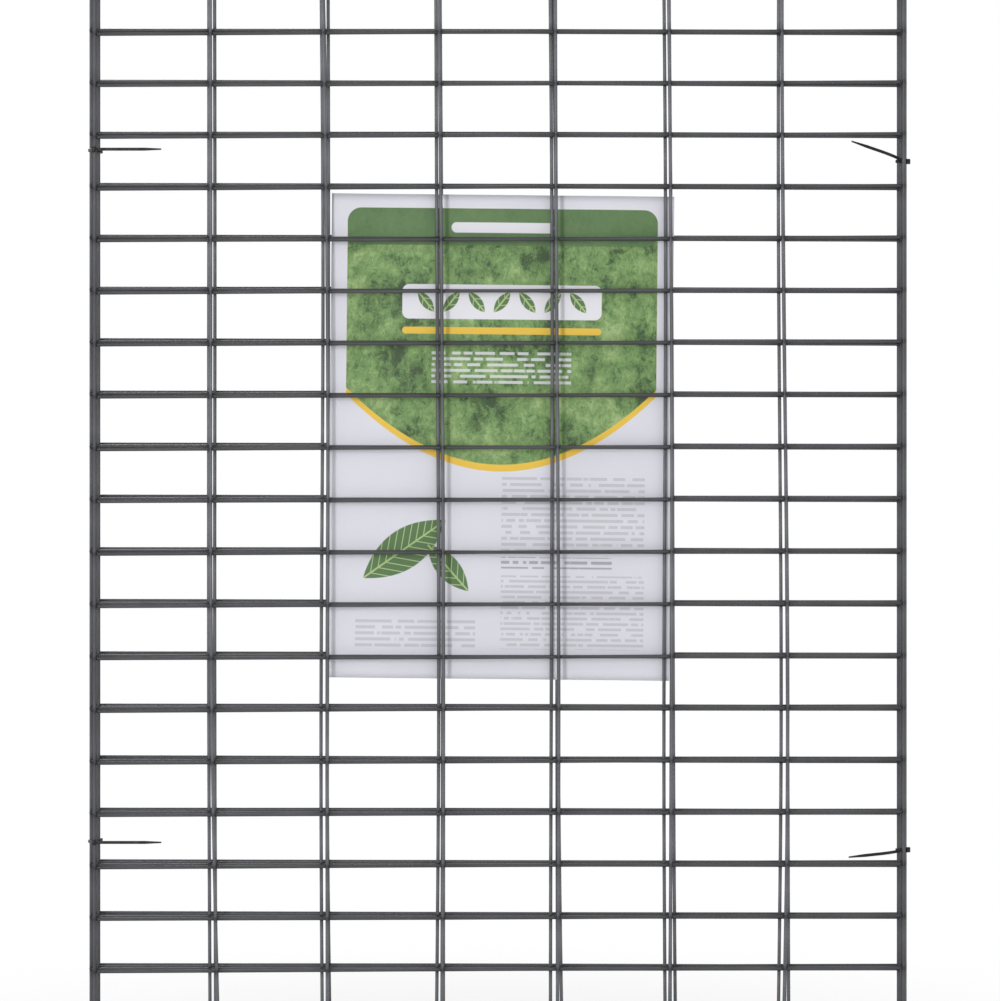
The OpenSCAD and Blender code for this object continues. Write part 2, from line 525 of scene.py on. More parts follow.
@dataclass(frozen=True)
class WireFinish:
    """Dark grey coated steel wire, lighter where it is cut, with painted shade round the welds."""

    coat: Colour = (0.092, 0.094, 0.104)
    cut: Colour = (0.30, 0.29, 0.28)
    # Painted shade round the welds and on their flash, where the crossing wires shade each other.
    weld: Colour = (0.014, 0.014, 0.018)
    cut_metal: float = 0.8
    roughness: float = 0.38
    rough_swing: float = 0.22
    cloud_scale: float = 38.0
    grain_scale: float = 1500.0
    tone_swing: float = 0.55
    relief: Relief = Relief(0.12, 0.2 * MM, 0.4)

    def material(self, effects: Effects) -> bpy.types.Material:
        """Builds the finish: coat, painted shade round the welds and bare cut ends by the wire's
        own values.

        Args:
            effects: Shared node groups.

        Returns:
            The material.
        """
        material, sketch, place = new_finish("coated_wire")
        grain = sketch.group(
            effects.grain,
            Place=place,
            Cloud=self.cloud_scale,
            Grain=self.grain_scale,
            Amount=self.tone_swing,
        ).outputs
        bare = sketch.own("bare")
        # Painted shade: the coat darkens round the welds by the bell that the wire carries.
        coat = sketch.mix(sketch.own("weld"), self.coat, self.weld)
        coat = sketch.mix(bare, coat, self.cut)
        # The tone value paints light on the inner uprights and shade on the cross wires.
        colour = sketch.scaled(coat, sketch.math("MULTIPLY", grain["Tone"], sketch.own("tone")))
        smooth = self.roughness - self.rough_swing / 2
        rough = sketch.math("MULTIPLY_ADD", grain["Height"], self.rough_swing, smooth)
        shader = end_finish(sketch, colour, rough, grain["Height"], self.relief)
        sketch.feed(shader.inputs["Metallic"], sketch.math("MULTIPLY", bare, self.cut_metal))
        return material


@dataclass(frozen=True)
class NylonFinish:
    """Black nylon of a cable tie, satin, with a slight mould grain and pale scuffed edges."""

    body: Colour = (0.010, 0.010, 0.011)
    scuff: Colour = (0.030, 0.030, 0.033)
    roughness: float = 0.38
    rough_swing: float = 0.2
    cloud_scale: float = 220.0
    grain_scale: float = 3200.0
    tone_swing: float = 0.7
    worn_tone: Flat = (0.9, 1.1)
    relief: Relief = Relief(0.15, 0.1 * MM, 0.2)

    def material(self, effects: Effects) -> bpy.types.Material:
        """Builds the finish.

        Args:
            effects: Shared node groups.

        Returns:
            The material.
        """
        material, sketch, place = new_finish("black_nylon")
        grain = sketch.group(
            effects.grain,
            Place=place,
            Cloud=self.cloud_scale,
            Grain=self.grain_scale,
            Amount=self.tone_swing,
        ).outputs
        worn = sketch.fade(grain["Tone"], *self.worn_tone)
        share = sketch.math("MULTIPLY", sketch.own("edge"), worn)
        colour = sketch.mix(share, self.body, self.scuff)
        smooth = self.roughness - self.rough_swing / 2
        rough = sketch.math("MULTIPLY_ADD", grain["Height"], self.rough_swing, smooth)
        end_finish(sketch, colour, rough, grain["Height"], self.relief)
        return material


class Noise(NamedTuple):
    """Noise on the card: how fine it is, in a millimetre, its detail and its roughness."""

    scale: float
    detail: float
    rough: float


class Patch(NamedTuple):
    """Rounded rectangle on the card, in millimetres from its lower left corner."""

    left: float
    low: float
    right: float
    high: float
    corner: float = 0.1


class Rows(NamedTuple):
    """Rows of small print: the rectangle they fill, their spacing and the length of a word."""

    area: Patch
    pitch: float
    word: float


class Leaf(NamedTuple):
    """Printed leaf: its middle, its turn in radians, and its half length and half width."""

    x: float
    y: float
    turn: float
    length: float
    width: float


@dataclass(frozen=True)
class CardFinish:
    """Coated card with a plain garden print: a leafy field, bars for headings and small print."""

    width: float
    height: float
    ground: Colour = (0.655, 0.652, 0.715)
    board: Colour = (0.52, 0.50, 0.47)
    leaf_dark: Colour = (0.040, 0.075, 0.030)
    leaf_mid: Colour = (0.150, 0.268, 0.090)
    leaf_light: Colour = (0.36, 0.49, 0.21)
    band: Colour = (0.090, 0.170, 0.068)
    gold: Colour = (0.74, 0.49, 0.06)
    white: Colour = (0.70, 0.70, 0.74)
    ink: Colour = (0.26, 0.26, 0.29)
    faint: Colour = (0.46, 0.46, 0.50)
    clumps: Noise = Noise(0.023, 3.0, 0.6)
    tufts: Noise = Noise(0.1, 6.0, 0.74)
    blades: Noise = Noise(0.36, 4.0, 0.75)
    flecks: Noise = Noise(0.62, 2.0, 0.6)
    grass_shares: tuple[float, float, float] = (0.85, 0.8, 0.5)
    shade_level: Flat = (0.88, 1.1)
    light_level: Flat = (1.05, 1.36)
    light_cover: float = 0.85
    fleck_level: Flat = (0.28, 0.46)
    fleck_cover: float = 0.55
    meadow: Patch = Patch(14.0, 150.0, 283.0, 408.0, 12.0)
    bowl_low: float = 186.0
    bowl_rise: float = 66.0
    rim: float = 6.0
    rim_soft: float = 0.4
    strip: Patch = Patch(14.0, 376.0, 283.0, 408.0, 12.0)
    strip_cover: float = 0.86
    strip_bar: Patch = Patch(104.0, 387.0, 193.0, 396.0, 4.5)
    plaque: Patch = Patch(62.0, 312.0, 235.0, 342.0, 6.0)
    rule: Patch = Patch(62.0, 299.0, 235.0, 305.0, 3.0)
    lead: Rows = Rows(Patch(88.0, 256.0, 209.0, 286.0), 5.0, 9.0)
    heading: Rows = Rows(Patch(150.0, 96.0, 246.0, 106.0), 5.2, 8.0)
    notes: tuple[Rows, ...] = (
        Rows(Patch(150.0, 112.0, 274.0, 178.0), 5.2, 8.0),
        Rows(Patch(150.0, 26.0, 274.0, 90.0), 4.6, 6.5),
        Rows(Patch(24.0, 26.0, 128.0, 52.0), 5.2, 7.5),
    )
    leaves: tuple[Leaf, ...] = (
        Leaf(66.0, 112.0, -0.62, 44.0, 17.0),
        Leaf(104.0, 96.0, -2.3, 27.0, 10.0),
    )
    sprigs: tuple[Leaf, ...] = tuple(
        Leaf(82.5 + 22.0 * i, 327.0, -0.9 if i % 2 else 0.9, 11.5, 4.6) for i in range(7)
    )
    cloud_scale: float = 9.0
    grain_scale: float = 900.0
    tone_swing: float = 0.10
    board_rough: float = 0.78
    print_gloss: float = 0.28
    relief: Relief = Relief(0.05, 0.2 * MM, 0.35)

    def foliage(self, sketch: Sketch, place: Socket) -> Socket:
        """Mottled grass: noise at four sizes on a swirled place, from dark to light green.

        Args:
            sketch: Sketch of the material.
            place: Place on the card in millimetres.

        Returns:
            The colour.
        """
        swirl, stretch = (11.0, 11.0, 0.0), (1.0, 0.6, 1.0)
        inputs = {"Vector": place, "Scale": 0.12, "Detail": 3.0}
        drift = sketch.put("ShaderNodeTexNoise", inputs).outputs["Color"]
        tall = sketch.vector(
            "MULTIPLY", sketch.vector("MULTIPLY_ADD", drift, swirl, place), stretch
        )
        clumps = sketch.noise(place, *self.clumps)
        tufts, blades, flecks = (
            sketch.noise(tall, *noise) for noise in (self.tufts, self.blades, self.flecks)
        )
        of_clumps, of_tufts, of_blades = self.grass_shares
        level = sketch.math("MULTIPLY", clumps, of_clumps)
        level = sketch.math("MULTIPLY_ADD", tufts, of_tufts, level)
        level = sketch.math("MULTIPLY_ADD", blades, of_blades, level)
        grown = sketch.fade(level, *self.shade_level)
        light = sketch.fade(level, *self.light_level, 0.0, self.light_cover)
        dark = sketch.fade(flecks, *self.fleck_level, self.fleck_cover, 0.0)
        colour = sketch.mix(grown, self.leaf_dark, self.leaf_mid)
        colour = sketch.mix(light, colour, self.leaf_light)
        return sketch.mix(dark, colour, self.leaf_dark)

    def material(self, effects: Effects) -> bpy.types.Material:
        """Builds the print on the card's UV, in millimetres from its lower left corner.

        The leafy field ends below in a bowl: its edge rises with the square of the distance
        from the card's middle line, and a gold rim follows it.

        Args:
            effects: Shared node groups.

        Returns:
            The material.
        """
        material, sketch, place = new_finish("printed_card")
        uv = sketch.put("ShaderNodeUVMap", uv_map="print").outputs[0]
        spot = sketch.vector("MULTIPLY", uv, (self.width / MM, self.height / MM, 0.0))
        x, y, _ = sketch.split(spot)

        def patch(area: Patch) -> Socket:
            """Mask of a rounded rectangle."""
            return sketch.group(
                effects.patch,
                Place=spot,
                Middle=((area.left + area.right) / 2, (area.low + area.high) / 2, 0.0),
                Half=((area.right - area.left) / 2, (area.high - area.low) / 2, 1.0),
                Corner=area.corner,
            ).outputs["Mask"]

        def bars(rows: Rows) -> Socket:
            """Mask of rows of small print."""
            lines = sketch.group(effects.rows, Place=spot, Pitch=rows.pitch, Word=rows.word)
            return sketch.math("MULTIPLY", lines.outputs["Mask"], patch(rows.area))

        half = self.width / MM / 2
        off = sketch.math("DIVIDE", sketch.math("SUBTRACT", x, half), half - self.meadow.left)
        square = sketch.math("POWER", off, 2.0)
        edge = sketch.math("MULTIPLY_ADD", square, self.bowl_rise, self.bowl_low)
        above = sketch.math("SUBTRACT", y, edge)
        meadow = patch(self.meadow)
        colour = self.ground
        for drop, paint in ((self.rim, self.gold), (0.0, self.foliage(sketch, spot))):
            inside = sketch.fade(above, -drop - self.rim_soft, -drop + self.rim_soft)
            colour = sketch.mix(sketch.math("MULTIPLY", meadow, inside), colour, paint)
        strip = sketch.math("MULTIPLY", patch(self.strip), self.strip_cover)
        for mask, paint in (
            (strip, self.band),
            (patch(self.strip_bar), self.white),
            (patch(self.plaque), self.white),
            (patch(self.rule), self.gold),
            (bars(self.lead), self.white),
            (bars(self.heading), self.ink),
            *((bars(rows), self.faint) for rows in self.notes),
        ):
            colour = sketch.mix(mask, colour, paint)
        for motif in (*self.leaves, *self.sprigs):
            leaf = sketch.group(
                effects.leaf,
                Place=spot,
                Middle=(motif.x, motif.y, 0.0),
                Turn=motif.turn,
                Length=motif.length,
                Width=motif.width,
            ).outputs
            green = sketch.mix(leaf["Vein"], self.band, self.leaf_light)
            colour = sketch.mix(leaf["Mask"], colour, green)
        printed = sketch.own("printed")
        grain = sketch.group(
            effects.grain,
            Place=place,
            Cloud=self.cloud_scale,
            Grain=self.grain_scale,
            Amount=self.tone_swing,
        ).outputs
        colour = sketch.scaled(sketch.mix(printed, self.board, colour), grain["Tone"])
        rough = sketch.math("MULTIPLY_ADD", printed, -self.print_gloss, self.board_rough)
        end_finish(sketch, colour, rough, grain["Height"], self.relief)
        return material


# Sub-assemblies


class Course(NamedTuple):
    """Sideways drift of a welded upright, in millimetres.

    Shift, lean from the middle to the top, bow at mid height, sway to either side of it, and
    flare at the foot.
    """

    shift: float
    lean: float
    bow: float
    sway: float
    flare: float


UPRIGHT_DRIFT: dict[Side, tuple[Course, ...]] = {
    Side.FRONT: (
        Course(1.2, -3.2, -2.9, -0.9, 0.5),
        Course(-2.0, -2.4, 2.6, -0.9, -0.3),
        Course(-1.0, -1.7, 2.0, 0.2, -0.6),
        Course(0.4, -1.5, 0.9, 0.5, -1.3),
        Course(-1.1, -1.3, 1.8, -0.2, -1.7),
        Course(-2.0, -1.4, 2.4, 1.5, -1.4),
    ),
    Side.LEFT: (
        Course(0.4, -0.4, -0.6, -0.2, 0.3),
        Course(-1.5, -0.4, 0.5, -1.1, 0.3),
        Course(-1.4, -0.2, 2.0, 0.6, 0.2),
        Course(-1.7, -0.1, 1.7, -0.5, 0.2),
        Course(-1.8, -0.5, 0.4, -1.0, 0.2),
        Course(-2.1, 0.2, 1.6, 1.2, 0.0),
    ),
    Side.REAR: (
        Course(-0.9, -0.4, -0.3, -0.3, 0.5),
        Course(-2.5, 0.5, 0.2, -0.5, 0.6),
        Course(-3.0, -1.1, 1.6, 0.1, 0.8),
        Course(-2.1, -3.1, 0.7, -0.8, 1.5),
        Course(-2.3, -1.9, 1.7, -0.3, 2.4),
        Course(-3.4, -2.0, 2.0, 0.5, 2.5),
    ),
    Side.RIGHT: (
        Course(1.1, -0.5, -0.3, -0.3, 0.0),
        Course(-1.3, -2.9, 1.3, -1.7, 0.2),
        Course(-1.2, -1.3, 1.6, 0.0, 0.0),
        Course(0.2, -1.4, 0.7, -0.3, 0.0),
        Course(-0.1, -0.6, 1.7, -0.2, -0.2),
        Course(-0.6, -1.1, 2.7, 1.4, 0.0),
    ),
}


class Rise(NamedTuple):
    """Drift in height of a panel's cross wires, in millimetres.

    Shift, slope from the middle to the right edge, stretch at the top, and how much the slope
    grows from the middle to the top.
    """

    shift: float
    slope: float
    stretch: float
    twist: float


CROSS_DRIFT: dict[Side, Rise] = {
    Side.FRONT: Rise(0.4, 1.6, 0.4, -0.1),
    Side.LEFT: Rise(0.7, -0.7, 0.7, -0.9),
    Side.REAR: Rise(-1.1, 0.4, 0.6, -0.4),
    Side.RIGHT: Rise(-0.1, -0.6, 1.2, 0.1),
}


@dataclass
class MeshPanel:
    """One welded panel: upright wires, cross wires and the welds where they meet."""

    side: Side
    wire_sides: int = 12
    even_rings: int = 24
    cut_bevel: float = 0.3 * MM
    weld_reach: float = 3.2 * MM
    weld_swell: float = 0.05
    ring_digits: int = 5
    cross_bow: float = 0.2 * MM
    bow_steps: Flat = (2.4, 1.7)
    spacing: Flat = (1.1 * MM, -0.9 * MM)
    # Tones: the inner uprights are painted lighter, the cross wires are painted in shade, and the
    # edge wires are darker.
    inner_tone: float = 1.35
    edge_tone: float = 0.76
    cross_tone: float = 0.62
    upright_swing: Flat = (0.06, 3.1)
    cross_swing: Flat = (0.05, 1.9)
    nugget: tuple[float, float, float] = (1.75 * MM, 0.85 * MM, 1.75 * MM)
    nugget_sides: int = 8
    nugget_bands: int = 4
    nugget_top: float = 55.0
    nugget_tone: float = 0.95

    def __post_init__(self) -> None:
        """Reads the wires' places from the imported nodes, and finds where they cross."""
        name = self.side.body
        inner = [f"{name}_upright_{i}" for i in range(2, 8)]
        self.uprights = [f"{name}_left_edge_wire", *inner, f"{name}_right_edge_wire"]
        boxes = np.array([[list(corner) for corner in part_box(node)] for node in self.uprights])
        self.x = boxes[:, :, 0].mean(1)
        self.y_upright = float(boxes[0, :, 1].mean())
        self.foot, self.top = float(boxes[0, 0, 2]), float(boxes[0, 1, 2])
        self.radius = float(boxes[0, 1, 0] - boxes[0, 0, 0]) / 2
        low, high = (np.array(corner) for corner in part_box(f"{name}_bottom_wire"))
        self.y_cross = float(low[1] + high[1]) / 2
        self.ends = (float(low[0]), float(high[0]))
        first = float(low[2] + high[2]) / 2
        last = float(sum(corner[2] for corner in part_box(f"{name}_top_wire"))) / 2
        pitch = float(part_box(f"{name}_cross_wires")[0][2]) + self.radius - first
        self.z = np.linspace(first, last, round((last - first) / pitch) + 1)
        self.weld_x = np.array([self.upright_x(i, self.z) for i in range(len(self.x))])
        self.weld_z = np.array([self.cross_z(j, self.weld_x[:, j]) for j in range(len(self.z))]).T

    def upright_x(self, number: int, z: Array) -> Array:
        """Place of an upright across the panel at heights z.

        x = x0 + shift + lean (2 s - 1) + bow sin(pi s) + sway sin(2 pi s) + flare (1 - s)^4,
        with s from 0 at the foot to 1 at the top.

        Args:
            number: Number of the upright, from 0 at the left edge.
            z: Heights.

        Returns:
            The places. Edge wires stay straight in their ties.
        """
        if number in (0, len(self.x) - 1):
            return np.full_like(z, self.x[number])
        shift, lean, bow, sway, flare = (v * MM for v in UPRIGHT_DRIFT[self.side][number - 1])
        s = (z - self.foot) / (self.top - self.foot)
        wave = bow * np.sin(np.pi * s) + sway * np.sin(2 * np.pi * s)
        return self.x[number] + shift + lean * (2 * s - 1) + wave + flare * (1 - s) ** 4

    def cross_z(self, number: int, x: Array) -> Array:
        """Height of a cross wire at places x.

        z = z0 + shift + stretch l + (slope + twist l) x / half width + bow cos(pi x / half width),
        and the spacing's waves a sin(pi s) + b sin(2 pi s), with s from 0 at the foot to 1 at the
        top, l = 2 s - 1 and its own bow for each wire.

        Args:
            number: Number of the cross wire, from the foot.
            x: Places across the panel.

        Returns:
            The heights.
        """
        share = (x - self.x.mean()) / (self.x[-1] - self.x.mean())
        shift, slope, stretch, twist = (v * MM for v in CROSS_DRIFT[self.side])
        s = (self.z[number] - self.foot) / (self.top - self.foot)
        level = 2 * s - 1
        by_wire, by_panel = self.bow_steps
        bow = self.cross_bow * math.sin(by_wire * number + by_panel * self.side.number)
        first, second = self.spacing
        wave = first * math.sin(math.pi * s) + second * math.sin(2 * math.pi * s)
        base = self.z[number] + wave + shift + stretch * level
        return base + (slope + twist * level) * share + bow * np.cos(np.pi * share)

    def wire(self, along: Array, crossings: Array, path: Array, tone: float) -> Surface:
        """One round wire: a circle carried along its path, a little swollen at the welds.

        The radius is r (1 + swell w), with w a bell curve round each weld, less the bevel at
        the ends.

        Args:
            along: Place along the wire of each ring.
            crossings: Places along the wire of its welds.
            path: Points of the rings.
            tone: Brightness of this wire, which paints light on the inner uprights and shade on the
                cross wires.

        Returns:
            The wire with its values: the bell round its welds, which swells it and paints shade
                there; bare; and tone.
        """
        weld = np.exp(-(((along[:, None] - crossings) / self.weld_reach) ** 2)).max(1)
        radius = self.radius * (1 + self.weld_swell * weld)
        radius[[0, -1]] = self.radius - self.cut_bevel
        turn = np.linspace(0, 2 * np.pi, self.wire_sides, endpoint=False)
        circle = np.stack([np.cos(turn), np.sin(turn)], -1)
        surface = sweep(path, np.array([0.0, 1.0, 0.0]), radius[:, None, None] * circle)
        bare = np.zeros(len(along))
        bare[[0, -1]] = 1.0
        surface.values = {
            "weld": np.repeat(weld, self.wire_sides),
            "bare": np.repeat(bare, self.wire_sides),
            "tone": np.full(len(surface.points), tone),
        }
        return surface

    def stations(self, start: float, end: float, crossings: Array) -> Array:
        """Places of a wire's rings: at its ends, round each weld and evenly between.

        Args:
            start: Place of the first end.
            end: Place of the last end.
            crossings: Places of the welds.

        Returns:
            The places in order.
        """
        near = (crossings[:, None] + np.array([-1.0, 0.0, 1.0]) * self.weld_reach).ravel()
        inner = np.concatenate([near, np.linspace(start, end, self.even_rings)])
        margin = 3 * self.cut_bevel
        inner = inner[(inner > start + margin) & (inner < end - margin)]
        edge = [start, start + self.cut_bevel]
        inner = np.unique(np.round(inner, self.ring_digits))
        return np.concatenate([edge, inner, [end - self.cut_bevel, end]])

    def swing(self, number: int, size: float, step: float) -> float:
        """Change of a wire's brightness: size times the sine of step n + panel's number."""
        return size * math.sin(step * number + self.side.number)

    def upright(self, number: int) -> Surface:
        """Surface of an upright wire, along its drifted course.

        Args:
            number: Number of the upright, from 0 at the left edge.

        Returns:
            The wire.
        """
        welds = self.weld_z[number]
        z = self.stations(self.foot, self.top, welds)
        x = self.upright_x(number, z)
        # Painted light on the inner uprights; the edge wires are darker.
        tone = self.inner_tone if 0 < number < len(self.x) - 1 else self.edge_tone
        tone += self.swing(number, *self.upright_swing)
        return self.wire(z, welds, np.stack([x, np.full_like(z, self.y_upright), z], -1), tone)

    def cross(self, number: int) -> Surface:
        """Surface of a cross wire, along its drifted course.

        Args:
            number: Number of the cross wire, from the foot.

        Returns:
            The wire.
        """
        welds = self.weld_x[:, number]
        x = self.stations(*self.ends, welds)
        z = self.cross_z(number, x)
        # Painted shade: the cross wires are darker than the uprights.
        tone = self.cross_tone + self.swing(number, *self.cross_swing)
        return self.wire(x, welds, np.stack([x, np.full_like(x, self.y_cross), z], -1), tone)

    def welds(self) -> Surface:
        """Flash squeezed out at each of the welds, in full painted shade: flat-topped ellipsoids of
        bands and two end faces.

        A point is middle + (a cos v cos u, b sin v, c cos v sin u), with u round and v up to
        the top's angle.

        Returns:
            All the welds of the panel as one surface.
        """
        around, bands = self.nugget_sides, self.nugget_bands
        u = np.linspace(0, 2 * np.pi, around, endpoint=False)
        v = np.radians(np.linspace(self.nugget_top, -self.nugget_top, bands))[:, None]
        a, b, c = self.nugget
        across, deep = a * np.cos(v) * np.cos(u), b * np.sin(v) * np.ones(around)
        shape = np.stack([across, deep, c * np.cos(v) * np.sin(u)], -1).reshape(-1, 3)
        y = np.full_like(self.weld_x, (self.y_upright + self.y_cross) / 2)
        middle = np.stack([self.weld_x, y, self.weld_z], -1).reshape(-1, 3)
        points = (middle[:, None] + shape).reshape(-1, 3)
        starts = (np.arange(len(middle)) * len(shape))[:, None, None]
        ring = np.arange(around)
        ends = [ring[None, None, ::-1], (ring + len(shape) - around)[None, None]]
        faces = [grid_quads(bands, around)[None], *ends]
        # The flash takes the full painted shade.
        values = {"weld": 1.0, "bare": 0.0, "tone": self.nugget_tone}
        return Surface(
            points,
            [(face + starts).reshape(-1, face.shape[-1]) for face in faces],
            {key: np.full(len(points), value) for key, value in values.items()},
        )

    def build(self, material: bpy.types.Material) -> list[bpy.types.Object]:
        """Makes the panel's pieces and sets them on its body.

        Args:
            material: Finish of the wire.

        Returns:
            The pieces.
        """
        name = self.side.body
        last = len(self.z) - 1
        parts = {node: self.upright(i) for i, node in enumerate(self.uprights)}
        parts[f"{name}_bottom_wire"] = self.cross(0)
        parts[f"{name}_cross_wires"] = Surface.joined([self.cross(j) for j in range(1, last)])
        parts[f"{name}_top_wire"] = self.cross(last)
        pieces = []
        for node, surface in parts.items():
            piece = surface.to_object(f"{node}.coated", material)
            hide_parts(node)
            pieces.append(piece)
        pieces.append(self.welds().to_object(f"{name}.welds", material))
        for piece in pieces:
            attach(piece, name)
        return pieces


@dataclass(frozen=True)
class TailShape:
    """Course of a tie's free tail: a straight lead, then a bend of one radius by an angle."""

    length: float
    lead: float = 0.0
    radius: float = 25 * MM
    turn: float = 0.0
    tilt: float = 0.0
    curl: float = 0.0
    taper: float = 14 * MM


@dataclass
class CableTie:
    """Cable tie: a toothed strap round two wires, through its head and on as a free tail."""

    node: str
    body: str
    home: Flat
    away: Flat
    outward: Flat
    tail_way: Flat
    tail: TailShape
    wire_radius: float = 1.5 * MM
    strap_width: float = 2.6 * MM
    strap_thick: float = 1.1 * MM
    strap_corner: float = 0.22 * MM
    clearance: float = 0.08 * MM
    slot_wall: float = 0.5 * MM
    slot_play: Flat = (0.12 * MM, 0.15 * MM)
    head_length: float = 4.2 * MM
    head_width: float = 4.6 * MM
    head_low: float = 1.8 * MM
    head_high: float = 5.28 * MM
    head_bevel: float = 0.45 * MM
    head_rim: float = 0.22 * MM
    head_sides: int = 20
    head_square: float = 0.36
    tip_width: float = 1.2 * MM
    tooth_pitch: float = 1.1 * MM
    tooth_depth: float = 0.26 * MM
    tooth_steps: int = 4
    tooth_flank: float = 0.66
    tooth_groove: float = 0.58
    loop_points: int = 241
    lift_off: float = 1.25

    def __post_init__(self) -> None:
        """Works out the strap's middle line round a wire and in the head, and the tie's height.

        The tie's box reaches half the head's width below its middle, or above it where the tail
        points down.
        """
        self.loop_radius = self.wire_radius + self.clearance + self.strap_thick / 2
        self.tail_radius = self.loop_radius + self.strap_thick + self.slot_wall
        across = self.outward[0] * self.tail_way[1] - self.outward[1] * self.tail_way[0]
        self.hand = 1.0 if across > 0 else -1.0
        self.step = self.tooth_pitch / self.tooth_steps
        low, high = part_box(self.node)
        half = self.head_width / 2
        self.height = low[2] + half if self.tail.tilt >= 0 else high[2] - half

    def loop_path(self) -> Array:
        """Middle line of the strap once round both wires, seen from above.

        A point is c + r n: n turns a full round from the outward way, c is the home wire while
        n points away from the other wire and that other wire while it points to it, and r grows
        from the loop's radius to the tail's over the last stretch, so that the strap comes out
        over its own start.

        Returns:
            Points of shape (count, 2).
        """
        tiny = 1e-6
        home, away, outward = (np.array(v) for v in (self.home, self.away, self.outward))
        turned = np.linspace(0.0, 2 * np.pi, self.loop_points)
        angle = math.atan2(outward[1], outward[0]) + self.hand * turned
        normal = np.stack([np.cos(angle), np.sin(angle)], -1)
        at_away = normal @ unit(away - home) > tiny
        at_away[-1] = False
        centre = np.where(at_away[:, None], away, home)
        swell = smooth_step((turned - 2 * np.pi + self.lift_off) / self.lift_off)
        radius = self.loop_radius + (self.tail_radius - self.loop_radius) * swell
        return centre + radius[:, None] * normal

    def tail_path(self, start: Array) -> Array:
        """Middle line of the tail: its heading turns evenly over the bend, and a little beyond.

        The tail is then turned by its tilt about a line along Y through the wire's axis, eased
        in within the head.

        Args:
            start: Place of the tail's start.

        Returns:
            Points of shape (count, 3).
        """
        shape = self.tail
        s = np.arange(0.0, shape.length + self.step / 2, self.step)
        bend = np.clip((s - shape.lead) / shape.radius, 0.0, shape.turn)
        heading = bend + shape.curl * (s / shape.length) ** 2
        along = np.concatenate([[0.0], np.cumsum(np.cos(heading[1:]) * self.step)])
        inward = np.concatenate([[0.0], np.cumsum(np.sin(heading[1:]) * self.step)])
        way, outward = spatial(self.tail_way, self.outward)
        path = start + along[:, None] * way - inward[:, None] * outward
        reach = path[:, 0] - self.home[0]
        tilt = shape.tilt * smooth_step(s / self.head_length)
        path[:, 0] = self.home[0] + reach * np.cos(tilt)
        path[:, 2] -= reach * np.sin(tilt)
        return path

    def strap_profile(self, taper: Array) -> Array:
        """Section of the strap at every ring: a flat bar with rounded corners, teeth inside.

        Args:
            taper: Share of the full width at each ring.

        Returns:
            Points (u, v) of shape (rings, 12, 2), with u outwards and v across.
        """
        thick, wide, corner = self.strap_thick / 2, self.strap_width / 2, self.strap_corner
        flank, groove = wide * self.tooth_flank, wide * self.tooth_groove
        outer = [thick - corner, thick, thick, thick - corner]
        u = np.array(outer + [corner - thick] + [-thick] * 6 + [corner - thick])
        v = np.array(
            [-wide, corner - wide, wide - corner, wide, wide]
            + [wide - corner, flank, groove, -groove, -flank, corner - wide]
            + [-wide]
        )
        profile = np.tile(np.stack([u, v], -1), (len(taper), 1, 1))
        phase = (np.arange(len(taper)) % self.tooth_steps) / self.tooth_steps
        profile[:, 7:9, 0] += (self.tooth_depth * phase)[:, None]
        profile[:, :, 1] *= self.hand * taper[:, None]
        return profile[:, :: int(self.hand)]

    def strap(self) -> Surface:
        """Strap from its start at the head, round the wires, through the head and to its tip.

        Its section is carried along the loop and the tail, and narrows in a straight line over
        the taper. Its flat outside and edges are scuffed, and the grooves of its teeth are not.

        Returns:
            The strap with its value edge, 1 where it is scuffed.
        """
        loop = self.loop_path()
        reach = np.cumsum(np.linalg.norm(np.diff(loop, axis=0), axis=1))
        reach = np.concatenate([[0.0], reach])
        s = np.arange(0.0, reach[-1], self.step)
        flat = np.stack([np.interp(s, reach, loop[:, k]) for k in (0, 1)], -1)
        ring = np.concatenate([flat, np.full((len(flat), 1), self.height)], 1)
        path = np.concatenate([ring, self.tail_path(np.append(loop[-1], self.height))])
        from_tip = self.step * np.arange(len(path))[::-1]
        least = self.tip_width / self.strap_width
        taper = least + (1 - least) * np.clip(from_tip / self.tail.taper, 0, 1)
        tangent = unit(np.gradient(path, axis=0))
        outward = self.hand * np.cross(tangent, np.array([0.0, 0.0, 1.0]))
        surface = sweep(path, outward, self.strap_profile(taper))
        worn = np.array([1.0, 1.0, 1.0, 1.0, 1.0, 0.4, 0.2, 0.0, 0.0, 0.2, 0.4, 1.0])
        surface.values = {"edge": np.tile(worn, len(path))}
        return surface

